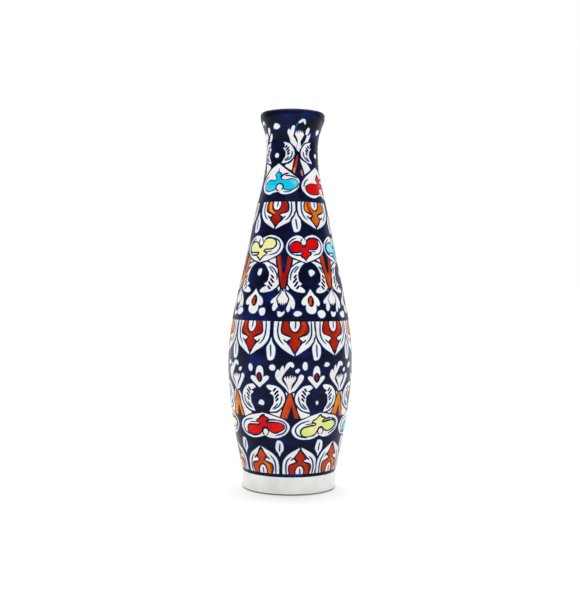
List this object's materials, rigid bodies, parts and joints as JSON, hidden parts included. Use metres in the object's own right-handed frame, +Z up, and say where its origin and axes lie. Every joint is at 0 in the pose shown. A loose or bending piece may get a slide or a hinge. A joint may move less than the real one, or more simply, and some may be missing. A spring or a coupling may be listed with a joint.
{
  "type": "painted pottery vase",
  "caption": "Tall narrow-necked earthenware vase of swelling bottle shape, glazed and painted all over in bands of leaves, hearts and petals on dark blue.",
  "frame": {"origin": "centre of the foot, on the plane the vase stands on", "axes": "+Z up along the axis of the vase, towards the mouth; -Y is the side shown in the picture"},
  "size_m": [0.1016, 0.1016, 0.305],
  "materials": {
    "earthenware": "matt bare fired clay",
    "slip": "matt fired slip",
    "white_glaze": "glossy white glaze",
    "lining_glaze": "glossy pale lining glaze",
    "foot_wash": "thin half-matt wash",
    "dark_blue_enamel": "glossy dark blue, nearly black",
    "cobalt_enamel": "glossy cobalt line",
    "turquoise_enamel": "glossy turquoise",
    "red_enamel": "glossy bright red",
    "yellow_enamel": "glossy pale yellow",
    "amber_enamel": "glossy amber to red brown"
  },
  "bodies": {
    "root": {"foot_ring": "earthenware", "floor_slab": "earthenware", "lower_body_wall": "earthenware", "upper_body_wall": "earthenware", "neck_wall": "earthenware", "rim_coil": "earthenware", "foot_slip_seam": "slip", "floor_slip_seam": "slip", "belly_slip_seam": "slip", "neck_slip_seam": "slip", "rim_slip_seam": "slip", "rim_coat": "dark_blue_enamel", "neck_frieze_enamel": "dark_blue_enamel", "neck_ring_line": "dark_blue_enamel", "shoulder_petal_enamel": "dark_blue_enamel", "upper_frieze_enamel": "dark_blue_enamel", "belly_ring_line": "dark_blue_enamel", "belly_petal_enamel": "dark_blue_enamel", "lower_frieze_enamel": "dark_blue_enamel", "foot_petal_enamel": "dark_blue_enamel", "foot_ring_line": "dark_blue_enamel", "foot_band_glaze": "white_glaze", "inside_lining": "lining_glaze", "underside_wash": "foot_wash"}
  },
  "joints": []
}
